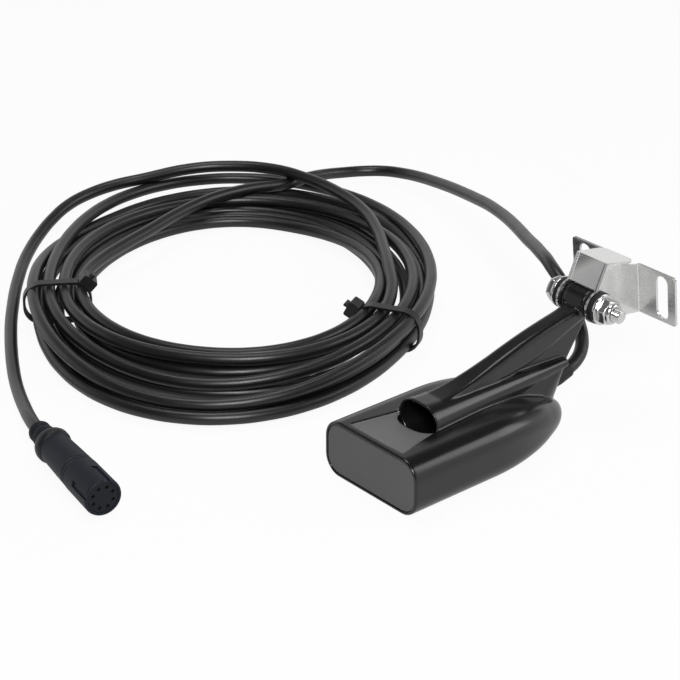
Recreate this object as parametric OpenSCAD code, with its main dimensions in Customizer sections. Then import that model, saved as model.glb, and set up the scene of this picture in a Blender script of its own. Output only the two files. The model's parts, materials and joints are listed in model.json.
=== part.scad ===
// Transom-mount sonar transducer with its pivot bracket, coiled lead and connector.
// +X runs from the tail to the transom, Y across the body, and the body rests on Z = 0.

/* [Body] */
// Width of the body across the tail
body_w = 55; // [50:0.5:60]
// Height of the body at the tail
body_h = 25; // [23:0.25:28]
// Length of the body from the tail to the nose tip
body_l = 100; // [96:0.5:104]
// Length of the straight part behind the tapering nose
straight_l = 46; // [40:1:52]
// Corner radius of the body's section
corner_r = 8.5; // [6:0.25:10]
// Height of the nose tip above the flat bottom
nose_z = 9; // [7:0.25:11]
// How fast the top falls towards the nose
nose_fall = 1.2; // [0.9:0.05:1.5]
// How fast the sides draw in towards the nose
nose_taper = 0.8; // [0.7:0.01:1]
// Wall of the moulding round the elements
wall = 2.2; // [1.8:0.1:2.6]
// Width of the rim round the tail cap
rim_w = 1.3; // [0.9:0.1:2]
// Rounding of the tail rim's outer edge
rim_round = 0.7; // [0.3:0.1:1]
// Thickness of the tail cap
cap_t = 2.5; // [1.5:0.25:4]
// Depth of the tail cap below the rim
cap_sink = 0.2; // [0.1:0.1:1.2]
// Rounding of the tail cap's front edge
cap_round = 0.8; // [0.4:0.1:1.2]

/* [Conduit] */
// Outer width of the conduit at its open end
hump_w = 23.2; // [21:0.2:26]
// Outer height of the conduit at its open end
hump_h = 17.2; // [16:0.2:19]
// Height of the body's top above the conduit's centre
hump_sink = 0.2; // [-1:0.1:1]
// Distance of the conduit's open end from the tail
hump_from_tail = 25.6; // [22:0.2:30]
// Wall of the conduit at its open end
hump_wall = 0.9; // [0.7:0.1:1.4]
// Depth of the conduit's blind bore
hump_bore = 22; // [14:1:26]
// Width of the scoop behind the tail rim
scoop_w = 31; // [26:0.5:36]
// Depth of the scoop behind the tail rim
scoop_step = 0.8; // [0.4:0.1:1.5]
// Distance of the scoop from the tail
scoop_from_tail = 3.4; // [3:0.1:6]

/* [Arm] */
// Distance of the pivot from the tail
pivot_from_tail = 119; // [115:0.5:123]
// Height of the pivot above the flat bottom
pivot_h = 50; // [48:0.5:53]
// Diameter of the pivot barrel
barrel_d = 13; // [12:0.25:13.5]
// Length of the pivot barrel
barrel_l = 11; // [9.5:0.1:11.5]
// Width of the arm's bar at the barrel
arm_w = 9.2; // [8:0.2:10.6]
// Depth of the arm's bar at the barrel
arm_depth = 7; // [6:0.25:9]
// Extra depth of the bar at its belly
arm_belly = 5; // [3:0.25:6]
// Thickness of the web below the bar
web_t = 5; // [3:0.25:7]
// Width of the skirt below the conduit
skirt_w = 22; // [19:0.5:22.6]
// Width of the conduit's slim front end
rib_w = 12; // [10:0.25:14]
// Height of the conduit's slim front end
rib_h = 4.6; // [3.5:0.1:6]
// Distance of the skirt's foot from the tail
foot_from_tail = 102.5; // [98:0.5:104]
// Forward lean of the skirt's front, in degrees
front_lean = 30; // [26:0.5:33]
// Height of the cable gland above the flat bottom
gland_h = 19; // [18.5:0.25:21]

/* [Bracket] */
// Thickness of the stainless sheet
sheet_t = 1.2; // [0.8:0.1:1.6]
// Width of the bracket outside its ears
bracket_w = 17.8; // [17.4:0.1:20]
// Width of the bracket across both flanges
flange_span = 59.2; // [56:0.2:64]
// Distance of the transom face from the pivot
flange_reach = 26; // [24:0.25:30]
// Height of the flanges above the pivot
flange_up = 10; // [8:0.25:11]
// Depth of the flanges below the pivot
flange_down = 13.2; // [11:0.25:15]
// Outer radius of the bends
bend_r = 1.9; // [1.7:0.1:2.4]
// Corner radius of the flanges
flange_corner = 1.2; // [0.6:0.1:2]
// Width of the mounting slots
slot_w = 6.6; // [5:0.1:7.5]
// Metal left above and below the slots
slot_margin = 1.2; // [1:0.1:3]
// Distance between the two slots' centres
slot_pitch = 44.4; // [42:0.2:46]
// Height of the crown's lower edge above the pivot
crown_foot = 7.4; // [7.2:0.1:9]
// Slope of the crown plate, in degrees
crown_slope = 58; // [50:1:66]
// Length of the crown plate up its slope
crown_l = 12.2; // [10:0.2:14]
// Length of the top tab
tab_l = 16.6; // [12:0.2:18]
// Fall of the top tab, in degrees
tab_fall = 17; // [10:0.5:20]
// Radius of the ears round the bolt
lug_r = 7.2; // [6.5:0.1:7.6]
// Pitch of the bracket as stored, in degrees
bracket_pitch = -7; // [-20:0.5:10]

/* [Fasteners] */
// Diameter of the pivot bolt
bolt_d = 6; // [5:0.1:6.4]
// Radial play of the bolt in the barrel
bolt_play = 0.06; // [0.03:0.01:0.1]
// Clearance of the bolt in the ears, washers and ratchets
hole_gap = 0.2; // [0.1:0.05:0.4]
// Size of the hexagons across their flats
hex_af = 10; // [8:0.25:11]
// Height of the bolt head
head_h = 4; // [3:0.25:5]
// Height of the lock nut
nut_h = 6; // [5:0.25:7]
// Length of bolt beyond the nut
bolt_end = 4; // [2:0.25:6]
// Diameter of the metal washers
washer_d = 13.4; // [11.5:0.1:14]
// Thickness of the metal washers
washer_t = 1.5; // [1:0.1:2]
// Diameter of the rubber washers
rubber_d = 13.8; // [12:0.1:14]
// Thickness of the rubber washers
rubber_t = 2.4; // [1.5:0.1:3]
// Thickness of a ratchet disc without its teeth
ratchet_t = 0.6; // [0.4:0.05:0.7]
// Diameter of the ratchet discs
ratchet_d = 12.6; // [11:0.1:13]
// Number of teeth on a ratchet disc
ratchet_teeth = 18; // [12:1:24]
// Gap between facing ratchet teeth
ratchet_gap = 0.3; // [0.2:0.05:0.4]

/* [Elements] */
// Width of the room for the elements
room_w = 38; // [36.5:0.5:40]
// Diameter of the round ceramic
disc_d = 25; // [20:0.5:27]
// Distance of the round ceramic from the middle of its bay
disc_off = 0.25; // [0:0.05:0.25]
// Thickness of the round ceramic
disc_t = 7; // [5:0.25:8]
// Length of the bar ceramic
bar_l = 40; // [30:0.5:42]
// Width of the bar ceramic
bar_w = 7; // [5:0.25:8]
// Thickness of the bar ceramic
bar_t = 5; // [4:0.25:7]
// Distance of the bar ceramic from the side of its room
bar_edge = 3.5; // [2.5:0.25:5]
// Thickness of the backing pads
backing_t = 1.5; // [1:0.1:2]
// Diameter of the temperature sensor
sensor_d = 4; // [3:0.1:5]
// Length of the temperature sensor
sensor_l = 10; // [6:0.5:14]
// Play of the inner pieces in the resin
pot_gap = 0.05; // [0.02:0.01:0.1]

/* [Cable] */
// Diameter of the cable
cable_d = 5.9; // [5.5:0.05:6]
// Mean length of the coil
coil_long = 214; // [206:1:220]
// Mean width of the coil
coil_short = 164; // [158:1:170]
// Layers of cable in the coil
coil_layers = 3; // [2:1:3]
// Width of the bundle under the ties
bundle_w = 29; // [26:0.5:32]
// Extra width of the bundle at the front
front_splay = 17; // [10:0.5:24]
// Extra width of the bundle at the back
back_splay = 26; // [14:0.5:28]
// Width of the cable ties
tie_w = 4.6; // [3.6:0.1:6]
// Thickness of the cable ties' straps
tie_t = 1.2; // [0.9:0.1:1.5]
// Size of the cable ties' heads along the strap
tie_head = 7.6; // [6:0.2:9]
// Length of strap left beyond a tie's head
tie_end = 2; // [1:0.25:5]
// Play between the ties and the bundle
tie_gap = 0.25; // [0.2:0.05:0.4]

/* [Connector] */
// Diameter of the connector shell
plug_d = 16; // [14:0.2:16.4]
// Length of the connector shell
plug_l = 46; // [40:0.5:52]
// Diameter of the collar behind the shell
ring_d = 17; // [16.6:0.1:18]
// Length of the collar
ring_l = 4.5; // [3:0.25:6]
// Length of the strain relief behind the collar
boot_l = 14; // [11:0.5:18]
// Diameter of the strain relief
boot_d = 11; // [9.5:0.25:13]
// Wall of the shell
shell_wall = 1.4; // [1:0.1:2]
// Width of the keyways
key_w = 2.6; // [1.5:0.1:3.5]
// Length of the keyways
key_l = 13; // [8:0.5:16]
// Number of contacts
contacts = 8; // [6:1:8]
// Diameter of the contact circle
contact_circle = 9.2; // [8:0.1:9.8]
// Diameter of a contact hole
contact_d = 1.6; // [1.2:0.05:1.8]

/* [Hidden] */
$fn = 64;
eps = 0.01;

// The origin lies below the middle of the body and bracket
bracket_front = flange_reach * cos(bracket_pitch) - flange_down * sin(bracket_pitch);
tail_x = -(pivot_from_tail + bracket_front) / 2;
pivot_x = tail_x + pivot_from_tail;

hump_z = body_h - hump_sink;
bore_w = hump_w - 2 * hump_wall;
bore_h = hump_h - 2 * hump_wall;
bore_end = 0.45;
well_l = 6;
well_steps = 16;
nose_rings = 13;
corner_steps = 7;

// Room for the elements, open to the tail
pocket_w = body_w - 2 * rim_w;
pocket_h = body_h - 2 * rim_w;
pocket_r = corner_r - rim_w;
pocket_d = cap_t + cap_sink;
room_l = straight_l - pocket_d;
room_top = hump_z - bore_h / 2 - wall;
room_r = 2;

// Arm: a bar from the conduit to the barrel, and a skirt with a bow-shaped front
lean = tan(front_lean);
foot_z = 15;
bar_steps = 14;
bar_top = pivot_h + 1;
bar_from_tail = hump_from_tail + 5;
bar_root_w = 12.6;
bar_sink = 0.9;
skirt_low = body_h / 2;
skirt_bow = 24;
rib_bow = 6;
rib_z = hump_z + 1.7;
rib_end = foot_from_tail + (rib_z - foot_z) * lean;
bow_steps = 12;

// Gland on the arm's front face
gland_tilt = -8;
gland_x = tail_x + foot_from_tail + (gland_h - foot_z) * lean;
gland_d = 9;
gland_in = 7;
gland_out = 7;
gland_tip = 7.4;

// Stack along the pivot, from the middle outwards
barrel_end = barrel_l / 2;
ear_in = bracket_w / 2 - sheet_t;
ear_out = bracket_w / 2;
tooth_room = (ear_in - barrel_end - 2 * ratchet_t - ratchet_gap) / 2;
rubber_out = ear_out + rubber_t;
washer_out = rubber_out + washer_t;
nut_out = washer_out + nut_h;
pin_hole = bolt_d + 2 * hole_gap;

// Crown and tab of the bracket, from the pivot
crown_x = 0.4;
crown_top = [crown_x + crown_l * cos(crown_slope), crown_foot + crown_l * sin(crown_slope)];
crown_leg = 6;
flange_h = flange_up + flange_down;
slot_h = flange_h - 2 * slot_margin;

// Elements on the floor of the room, the round one in the bay that the bar leaves
bay_w = room_w - bar_edge - bar_w;
disc_x = tail_x + pocket_d + disc_d / 2 + 4;
disc_y = (bay_w - room_w) / 2 + disc_off;
bar_x = tail_x + pocket_d + 0.6;
bar_y = room_w / 2 - bar_w / 2 - bar_edge;
sensor_x = disc_x + disc_d / 2 + 3;

// Coil: an ellipse that lies across the view, tied at two places
cable_r = cable_d / 2;
coil_centre = [-3.4, 178.2];
coil_turn = 48;
coil_h = coil_layers * cable_d;
coil_z = tie_t + tie_gap + coil_h / 2;
coil_rings = 60;
coil_corner = coil_h * 0.42;
tie_left_at = 103;
tie_right_at = 244;

// Route of the cable from the gland to the coil
lead_route = [[gland_x - gland_in / 2 * cos(gland_tilt), 0, gland_h + gland_in / 2 * sin(gland_tilt)],
  [gland_x + gland_out * cos(gland_tilt), 0, gland_h - gland_out * sin(gland_tilt)],
  [44.4, 0.8, 21.6], [49.6, 2.8, 24.6], [53, 6, 28.6], [54.6, 9.4, 32.6], [55.4, 13, 37],
  [56.2, 17, 41.2], [57.4, 21.6, 44.8], [59, 27.2, 47.4], [61.8, 34, 48.8], [66, 41.4, 48.8], [71.6, 50, 47],
  [79, 61, 44.4], [87.5, 74, 41], [96, 87, 38], [104.4, 100, 35], [112.4, 113, 32],
  [120, 127, 29], [127, 141.5, 26], [133.4, 156.5, 22.6], [139.4, 172, 19.2], [144.6, 187.5, 16],
  [149, 203, 12.8], [152, 218, 10], [152.6, 231, 7.8], [149.4, 243, 6.4], [141.6, 251.6, 5.8],
  [131, 256, 6], [119, 257, 7], [106, 255.6, 8.2], [93, 252.6, 9.4]];

// Route of the cable from the coil to the connector
plug_at = [-152.4, 118.6];
plug_turn = 260;
plug_z = ring_d / 2;
boot_grip = 9;
key_turns = [164, 252];
tail_route = [[48, 297, 14.6], [35, 304.6, 13], [20, 309.6, 11.8], [5, 311, 10.4], [-9, 308.6, 9],
  [-22.6, 303, 6.8], [-35.6, 295, 4.8], [-47.6, 285.4, 3.5], [-58.6, 274.6, 3], [-69, 262.6, 3],
  [-79.4, 249.8, 3], [-89.2, 236.6, 3], [-98.6, 223.4, 3], [-107.4, 210, 3], [-115.8, 196.4, 3],
  [-123.6, 183, 3], [-130.8, 169.6, 3.2], [-137.4, 156, 4.2], [-143.4, 142.6, 5.8], [-148.6, 130.4, 7.6],
  [plug_at[0], plug_at[1], plug_z],
  [plug_at[0] + boot_grip * cos(plug_turn), plug_at[1] + boot_grip * sin(plug_turn), plug_z]];
tube_sides = 10;

// Outline of a rounded rectangle about its centre, counter-clockwise
function round_outline(w, h, r, steps) = [
  for (c = [[1, 1, 0], [-1, 1, 90], [-1, -1, 180], [1, -1, 270]], i = [0:steps])
    let (a = c[2] + 90 * i / steps)
      [c[0] * (w / 2 - r) + r * cos(a), c[1] * (h / 2 - r) + r * sin(a)]];

function unit(v) = v / norm(v);

// Direction of a route at one of its points
function heading(route, i) =
  unit(route[min(i + 1, len(route) - 1)] - route[max(i - 1, 0)]);

// Closed solid through rings of equal length, the first and last ring being its ends
module loft(rings) {
  n = len(rings[0]);
  last = len(rings) - 1;
  polyhedron(points = [for (ring = rings) each ring],
    faces = concat([[for (i = [0:n - 1]) i]], [[for (i = [n - 1:-1:0]) last * n + i]],
      [for (j = [0:last - 1], i = [0:n - 1])
        [j * n + i, (j + 1) * n + i, (j + 1) * n + (i + 1) % n, j * n + (i + 1) % n]]));
}

// Closed solid through rings that run on from the last to the first
module loop_loft(rings) {
  n = len(rings[0]);
  m = len(rings);
  polyhedron(points = [for (ring = rings) each ring],
    faces = [for (j = [0:m - 1], i = [0:n - 1])
      [j * n + i, (j + 1) % m * n + i, (j + 1) % m * n + (i + 1) % n, j * n + (i + 1) % n]]);
}

// Round tube along the points of a route
module tube(route, r) {
  loft([for (i = [0:len(route) - 1])
    let (t = heading(route, i), side = unit(cross([0, 0, 1], t)), up = cross(t, side))
      [for (k = [0:tube_sides - 1])
        let (a = 360 * k / tube_sides) route[i] + r * (side * cos(a) + up * sin(a))]]);
}

// Lays a flat outline in the YZ plane and draws it out along +X
module along_x(l) {
  rotate([90, 0, 90]) linear_extrude(l) children();
}

// Lays a side outline in the XZ plane and draws it out to both sides of Y = 0
module across_y(w) {
  rotate([90, 0, 0]) linear_extrude(w, center = true) children();
}

// Places a piece on the pivot axis, with its own Z pointing to the nut side or the head side
module on_axis(side) {
  translate([pivot_x, 0, pivot_h]) rotate([0, bracket_pitch, 0]) rotate([side * -90, 0, 0]) children();
}

module rounded_2d(w, h, r) {
  square([w - 2 * r, h], center = true);
  square([w, h - 2 * r], center = true);
  for (x = [-1, 1], y = [-1, 1]) translate([x * (w / 2 - r), y * (h / 2 - r)]) circle(r);
}

module pill_2d(w, h) {
  square([w - h, h], center = true);
  for (x = [-1, 1]) translate([x * (w - h) / 2, 0]) circle(h / 2);
}

// Ring of the body at a distance from the tail
function body_ring(x, w, low, high, r) = [
  for (p = round_outline(w, high - low, min(r, w * 0.49, (high - low) * 0.49), corner_steps))
    [tail_x + x, p[0], (low + high) / 2 + p[1]]];

function nose_ring(a) = let (k = cos(a))
  body_ring(straight_l + (body_l - straight_l) * sin(a), body_w * pow(k, nose_taper), nose_z * (1 - k),
    nose_z + (body_h - nose_z) * pow(k, nose_fall), corner_r);

module body_shape() {
  loft(concat(
    [body_ring(0, body_w - 2 * rim_round, rim_round, body_h - rim_round, corner_r - rim_round),
      body_ring(rim_round, body_w, 0, body_h, corner_r)],
    [for (i = [0:nose_rings]) nose_ring(88 * i / nose_rings)]));
}

// Share of the way up that the bar's top has reached at a share of its length
function bar_rise(s) = s - 0.1 * (1 - s) * sin(360 * s);

function bar_depth(s) = arm_depth + arm_belly * pow(sin(180 * pow(s, 1.5)), 2);

function bar_width(s) = arm_w + (bar_root_w - arm_w) * pow(1 - s, 4);

// Upper bar of the arm, which rises out of the conduit to the barrel
module arm_bar() {
  root_top = hump_z + hump_h / 2 - bar_sink;
  loft([for (i = [0:bar_steps])
    let (s = i / bar_steps, depth = bar_depth(s), w = bar_width(s),
      mid = root_top + (bar_top - root_top) * bar_rise(s) - depth / 2)
      [for (p = round_outline(w, depth, min(w, depth) * 0.27, 4))
        [tail_x + bar_from_tail + (pivot_from_tail - bar_from_tail) * s, p[0], mid + p[1]]]]);
}

// Conduit outside: a full tube at its open end that narrows to a slim rib under the web
module conduit() {
  loft([for (s = [0:1 / 4:1])
    let (w = hump_w + (rib_w - hump_w) * s, h = hump_h + (rib_h - hump_h) * s)
      [for (p = round_outline(w, h, h * 0.49, 8))
        [tail_x + hump_from_tail + (rib_end - rib_bow / 2 - hump_from_tail) * s, p[0],
          hump_z + (rib_z - hump_z) * s + p[1]]]]);
}

// Plan outline of the skirt at a height, with a bow of given length at its front
function skirt_ring(z, w, bow) = concat(
  [for (y = [1, -1]) [tail_x + hump_from_tail + hump_wall, y * skirt_w / 2, z]],
  [for (i = [0:bow_steps]) let (a = -90 + 180 * i / bow_steps)
    [tail_x + foot_from_tail + (z - foot_z) * lean - bow + bow * cos(a), w / 2 * sin(a), z]]);

module skirt() {
  loft([skirt_ring(skirt_low, skirt_w, skirt_bow), skirt_ring(rib_z, rib_w - 1, rib_bow)]);
}

module web() {
  across_y(web_t) translate([tail_x, 0])
    polygon([[hump_from_tail + hump_bore + 6, rib_z + 0.6], [pivot_from_tail - 3, pivot_h - 1],
      [pivot_from_tail + 1.5, pivot_h - barrel_d / 2 + 1], [rib_end - 0.4, rib_z + 0.6]]);
}

// Shallow tray behind the tail rim, the oval well at its end, and the blind bore of the conduit
module scoop() {
  mouth_x = tail_x + hump_from_tail;
  translate([0, 0, body_h - scoop_step]) linear_extrude(hump_h) polygon([
    for (y = [-1, 1]) [tail_x + scoop_from_tail, y * scoop_w / 2],
    for (y = [1, -1]) [mouth_x + 0.3, y * (bore_w / 2 + 0.4)]]);
  translate([0, 0, hump_z - bore_h / 2]) linear_extrude(hump_h) polygon([
    for (i = [0:well_steps]) let (a = 90 + 180 * i / well_steps)
      [mouth_x + 0.3 + well_l * cos(a), (bore_w / 2 - 0.2) * sin(a)]]);
  loft([for (s = [0, 1]) let (k = 1 + (bore_end - 1) * s)
    [for (p = round_outline(bore_w * k, bore_h * k, bore_h * k * 0.49, 8))
      [mouth_x - 0.5 + (hump_bore + 0.5) * s, p[0], hump_z + p[1]]]]);
}

module gland_axis() {
  translate([gland_x, 0, gland_h]) rotate([0, 90 + gland_tilt, 0]) children();
}

module housing() {
  color("#161617") difference() {
    union() {
      difference() {
        union() {
          body_shape();
          arm_bar();
          conduit();
          skirt();
        }
        scoop();
      }
      web();
      translate([pivot_x, 0, pivot_h]) rotate([90, 0, 0])
        cylinder(h = barrel_l, d = barrel_d, center = true);
    }
    translate([pivot_x, 0, pivot_h]) rotate([90, 0, 0])
      cylinder(h = 2 * barrel_l, d = bolt_d + 2 * bolt_play, center = true);
    translate([tail_x - eps, 0, body_h / 2])
      along_x(pocket_d + eps) rounded_2d(pocket_w, pocket_h, pocket_r);
    translate([tail_x + pocket_d - eps, 0, (wall + room_top) / 2])
      along_x(room_l) rounded_2d(room_w, room_top - wall, room_r);
    gland_axis() translate([0, 0, -gland_in]) cylinder(h = gland_in + gland_d, d = gland_d);
  }
}

// Outline of the tail cap, drawn in from its full size, at a depth from its face
function cap_ring(x, inset) = [
  for (p = round_outline(pocket_w - 2 * (pot_gap + inset), pocket_h - 2 * (pot_gap + inset),
    pocket_r - pot_gap - inset, corner_steps)) [tail_x + cap_sink + x, p[0], body_h / 2 + p[1]]];

// Plate with a rounded front edge, which leaves a groove inside the rim
module tail_cap() {
  color("#4a4b4d") loft(concat(
    [for (a = [90:-30:0]) cap_ring(cap_round * (1 - sin(a)), cap_round * (1 - cos(a)))],
    [cap_ring(cap_t, 0)]));
}

module sonar_disc() {
  color("#c9c2b0") translate([disc_x, disc_y, wall]) cylinder(h = disc_t, d = disc_d);
}

module disc_backing() {
  color("#9a7648") translate([disc_x, disc_y, wall + disc_t]) cylinder(h = backing_t, d = disc_d);
}

module downscan_bar() {
  color("#cfc9ba") translate([bar_x, bar_y - bar_w / 2, wall]) cube([bar_l, bar_w, bar_t]);
}

module bar_backing() {
  color("#2f3032") translate([bar_x, bar_y - bar_w / 2, wall + bar_t]) cube([bar_l, bar_w, backing_t]);
}

module temperature_sensor() {
  color("#b8bcc0") translate([sensor_x, disc_y, wall + sensor_d / 2]) rotate([90, 0, 0])
    cylinder(h = sensor_l, d = sensor_d, center = true);
}

module potting_fill() {
  color("#3b3226") difference() {
    translate([tail_x + pocket_d, 0, (wall + room_top) / 2]) along_x(room_l - 2 * pot_gap)
      rounded_2d(room_w - 2 * pot_gap, room_top - wall - 2 * pot_gap, room_r - pot_gap);
    translate([disc_x, disc_y, 0]) cylinder(h = wall + disc_t + backing_t + pot_gap, d = disc_d + 2 * pot_gap);
    translate([bar_x - pot_gap, bar_y - bar_w / 2 - pot_gap, 0])
      cube([bar_l + 2 * pot_gap, bar_w + 2 * pot_gap, wall + bar_t + backing_t + pot_gap]);
    translate([sensor_x, disc_y, wall + sensor_d / 2]) rotate([90, 0, 0])
      cylinder(h = sensor_l + 2 * pot_gap, d = sensor_d + 2 * pot_gap, center = true);
  }
}

module cable_gland() {
  color("#101011") gland_axis() difference() {
    union() {
      translate([0, 0, -gland_in]) cylinder(h = gland_in, d = gland_d - 2 * pot_gap);
      cylinder(h = gland_out, d1 = gland_d - 2 * pot_gap, d2 = gland_tip);
    }
    translate([0, 0, -gland_in / 2]) cylinder(h = gland_in + gland_out, d = cable_d + 2 * pot_gap);
  }
}

// Disc with radial teeth on its outer face, from its seat at Z = 0
module ratchet() {
  difference() {
    union() {
      cylinder(h = ratchet_t, d = ratchet_d);
      for (i = [0:ratchet_teeth - 1]) rotate([0, 0, 360 * i / ratchet_teeth])
        translate([bolt_d / 2, -0.4, 0]) cube([(ratchet_d - bolt_d) / 2 - 0.3, 0.8, ratchet_t + tooth_room]);
    }
    translate([0, 0, -1]) cylinder(h = 4, d = pin_hole);
  }
}

module transducer_ratchets() {
  color("#1b1b1c") for (side = [-1, 1]) on_axis(side) translate([0, 0, barrel_end]) ratchet();
}

module bracket_ratchets() {
  color("#1b1b1c") for (side = [-1, 1])
    on_axis(side) translate([0, 0, ear_in]) rotate([180, 0, 0]) ratchet();
}

// Plan of one ear with its flange bent outwards, on the +Y side
module ear_plan() {
  bend_x = flange_reach - bend_r;
  bend_y = ear_in + bend_r;
  translate([-lug_r - 1, ear_in]) square([lug_r + 1 + bend_x, sheet_t]);
  translate([flange_reach - sheet_t, bend_y]) square([sheet_t, flange_span / 2 - bend_y]);
  intersection() {
    translate([bend_x, bend_y]) difference() {
      circle(bend_r);
      circle(bend_r - sheet_t);
    }
    translate([bend_x, ear_in]) square(bend_r);
  }
}

// Side outline of the ears and flanges
module ear_side() {
  polygon([[crown_x, crown_foot], crown_top, [flange_reach - bend_r, flange_up], [flange_reach + 1, flange_up],
    [flange_reach + 1, -flange_down], [flange_reach - bend_r, -flange_down], [2, -lug_r + 0.3],
    [-lug_r * 0.9, 0]]);
  circle(lug_r);
}

// Crown plate with the start of its two ears, drawn up its slope
module crown() {
  translate([crown_x, 0, crown_foot]) rotate([0, 90 - crown_slope, 0]) linear_extrude(crown_l)
    difference() {
      union() {
        translate([crown_leg / 2 + bend_r / 2, 0]) square([crown_leg - bend_r, bracket_w], center = true);
        translate([crown_leg / 2, 0]) square([crown_leg, bracket_w - 2 * bend_r], center = true);
        for (y = [-1, 1]) translate([bend_r, y * (bracket_w / 2 - bend_r)]) circle(bend_r);
      }
      translate([sheet_t + crown_leg / 2, 0]) square([crown_leg, bracket_w - 2 * bend_r], center = true);
      translate([bend_r + crown_leg / 2, 0]) square([crown_leg, 2 * ear_in], center = true);
      for (y = [-1, 1]) translate([bend_r, y * (bracket_w / 2 - bend_r)]) circle(bend_r - sheet_t);
    }
}

// Top tab, bent forward from the crown, with round free corners
module tab() {
  translate([crown_top[0], 0, crown_top[1]]) rotate([0, tab_fall, 0])
    translate([0, 0, -sheet_t]) linear_extrude(sheet_t) {
      translate([0, -bracket_w / 2]) square([tab_l - 3, bracket_w]);
      translate([tab_l / 2, 0]) square([tab_l, bracket_w - 6], center = true);
      for (y = [-1, 1]) translate([tab_l - 3, y * (bracket_w / 2 - 3)]) circle(3);
    }
}

module bracket() {
  color("#c6c8ca") translate([pivot_x, 0, pivot_h]) rotate([0, bracket_pitch, 0]) difference() {
    union() {
      intersection() {
        translate([0, 0, -2 * flange_down]) linear_extrude(4 * flange_h) {
          ear_plan();
          mirror([0, 1]) ear_plan();
        }
        across_y(2 * flange_span) ear_side();
        translate([-2 * lug_r, 0, (flange_up - flange_down) / 2]) along_x(4 * flange_reach) {
          rounded_2d(flange_span, flange_h, flange_corner);
          square([bracket_w, 3 * flange_h], center = true);
        }
      }
      crown();
      tab();
    }
    rotate([90, 0, 0]) cylinder(h = 2 * bracket_w, d = pin_hole, center = true);
    for (y = [-1, 1]) translate([flange_reach - 2 * sheet_t, y * slot_pitch / 2, (flange_up - flange_down) / 2])
      rotate([90, 0, 90]) linear_extrude(4 * sheet_t) rotate(90) pill_2d(slot_h, slot_w);
  }
}

module pivot_bolt() {
  color("#b9bcbf") {
    on_axis(1) translate([0, 0, washer_out]) rotate(30)
      cylinder(h = head_h, d = hex_af / cos(30), $fn = 6);
    on_axis(-1) translate([0, 0, -washer_out]) cylinder(h = washer_out + nut_out + bolt_end - 0.6, d = bolt_d);
    on_axis(-1) translate([0, 0, nut_out + bolt_end - 0.6]) cylinder(h = 0.6, d1 = bolt_d, d2 = bolt_d - 1.2);
  }
}

module lock_nut() {
  hex_h = nut_h - 1.8;
  color("#b4b7ba") on_axis(-1) translate([0, 0, washer_out]) difference() {
    union() {
      cylinder(h = hex_h, d = hex_af / cos(30), $fn = 6);
      translate([0, 0, hex_h]) cylinder(h = nut_h - hex_h, d1 = hex_af, d2 = hex_af - 2.4);
    }
    translate([0, 0, -1]) cylinder(h = nut_h + 2, d = bolt_d + 2 * bolt_play);
  }
}

// Flat ring on each side of the bracket, from a distance along the pivot
module washer_pair(from, t, d) {
  for (side = [-1, 1]) on_axis(side) translate([0, 0, from]) difference() {
    cylinder(h = t, d = d);
    translate([0, 0, -1]) cylinder(h = t + 2, d = pin_hole);
  }
}

module metal_washers() {
  color("#c2c4c6") washer_pair(rubber_out, washer_t, washer_d);
}

module rubber_washers() {
  color("#121213") washer_pair(ear_out, rubber_t, rubber_d);
}

module cable_lead() {
  color("#1d1d1e") tube(lead_route, cable_r);
}

module cable_tail() {
  color("#1d1d1e") tube(tail_route, cable_r);
}

// Width of the bundle at an angle of the coil, narrow at the two ties
function bundle_width(t) = t > tie_left_at && t < tie_right_at
  ? bundle_w + front_splay * pow(sin(180 * (t - tie_left_at) / (tie_right_at - tie_left_at)), 2)
  : bundle_w + back_splay * pow(sin(180 * ((t < tie_left_at ? t + 360 : t) - tie_right_at)
      / (360 + tie_left_at - tie_right_at)), 2);

function coil_point(t) = let (x = coil_long / 2 * cos(t), y = coil_short / 2 * sin(t))
  [coil_centre[0] + x * cos(coil_turn) - y * sin(coil_turn),
    coil_centre[1] + x * sin(coil_turn) + y * cos(coil_turn), coil_z];

// Direction straight out of the coil at an angle
function coil_out(t) = let (n = unit([cos(t) / coil_long, sin(t) / coil_short]))
  [n[0] * cos(coil_turn) - n[1] * sin(coil_turn), n[0] * sin(coil_turn) + n[1] * cos(coil_turn), 0];

module cable_coil() {
  color("#1d1d1e") loop_loft([for (i = [0:coil_rings - 1])
    let (t = 360 * i / coil_rings, c = coil_point(t), out = coil_out(t))
      [for (p = round_outline(bundle_width(t), coil_h, coil_corner, 3)) c + p[0] * out + [0, 0, p[1]]]]);
}

// Tie round the bundle, with its head on the inner upper corner at a given turn
module cable_tie(t, head_turn) {
  inner_w = bundle_w + 2 * tie_gap;
  inner_h = coil_h + 2 * tie_gap;
  inner_r = coil_corner + tie_gap;
  out = coil_out(t);
  translate(coil_point(t)) rotate([90, 0, atan2(out[1], out[0])]) {
    linear_extrude(tie_w, center = true) difference() {
      rounded_2d(inner_w + 2 * tie_t, inner_h + 2 * tie_t, inner_r + tie_t);
      rounded_2d(inner_w, inner_h, inner_r);
    }
    translate([inner_r - inner_w / 2, inner_h / 2 - inner_r]) rotate(head_turn)
      translate([inner_r + tie_t * 0.5, 0]) {
        linear_extrude(tie_w + 2.4, center = true) translate([tie_head * 0.36, 0])
          rounded_2d(tie_head * 0.72, tie_head, 1);
        linear_extrude(tie_w, center = true) translate([tie_head * 0.6, -tie_t / 2])
          square([tie_head * 0.12 + tie_end, tie_t]);
      }
  }
}

module cable_tie_left() {
  color("#0e0e0f") cable_tie(tie_left_at, 132);
}

module cable_tie_right() {
  color("#0e0e0f") cable_tie(tie_right_at, 152);
}

// Places a piece on the connector's axis, from the back of the strain relief forwards
module on_plug(from) {
  translate([plug_at[0], plug_at[1], plug_z]) rotate([0, 90, plug_turn]) translate([0, 0, from]) children();
}

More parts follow.
